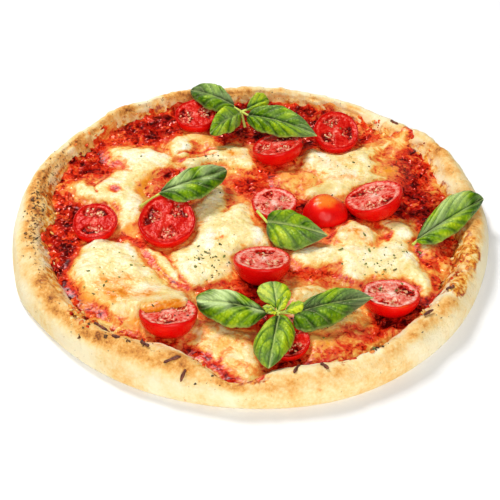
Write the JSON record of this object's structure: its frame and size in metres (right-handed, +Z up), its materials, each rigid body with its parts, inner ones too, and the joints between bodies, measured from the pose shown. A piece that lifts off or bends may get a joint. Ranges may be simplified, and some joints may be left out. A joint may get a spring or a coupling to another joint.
{
  "type": "tomato and mozzarella pizza",
  "caption": "Round baked pizza with a raised bread rim, tomato sauce, melted mozzarella pools, halved cherry tomatoes and fresh basil leaves.",
  "frame": {"origin": "middle of the bread's flat underside", "axes": "+Z up from the underside, +Y away from the viewer of the picture, +X to the viewer's right"},
  "size_m": [0.2797, 0.2797, 0.0271],
  "materials": {
    "crust": "matt baked bread, floury at the edge",
    "sauce": "wet and lumpy",
    "cheese": "soft satin, toasted in places",
    "tomato": "glossy skin, wet cut flesh",
    "basil": "satin leaf"
  },
  "bodies": {
    "root": {"crust": "crust", "tomato_sauce": "sauce", "cheese_front_left": "cheese", "cheese_middle": "cheese", "cheese_left": "cheese", "cheese_back_left": "cheese", "cheese_back_right": "cheese", "cheese_right": "cheese", "cheese_front_right": "cheese", "cheese_front": "cheese", "cheese_lump": "cheese", "cheese_back_middle": "cheese", "tomato_left": "tomato", "tomato_left_large": "tomato", "tomato_front_left": "tomato", "tomato_middle_front": "tomato", "tomato_front_right": "tomato", "tomato_right": "tomato", "tomato_middle": "tomato", "tomato_back_middle": "tomato", "tomato_back_right": "tomato", "tomato_back_left": "tomato", "tomato_front": "tomato", "tomato_turned_over": "tomato", "basil_sprig_back": "basil", "basil_sprig_front": "basil", "basil_leaf_left": "basil", "basil_leaf_middle": "basil", "basil_leaf_right": "basil"}
  },
  "joints": []
}
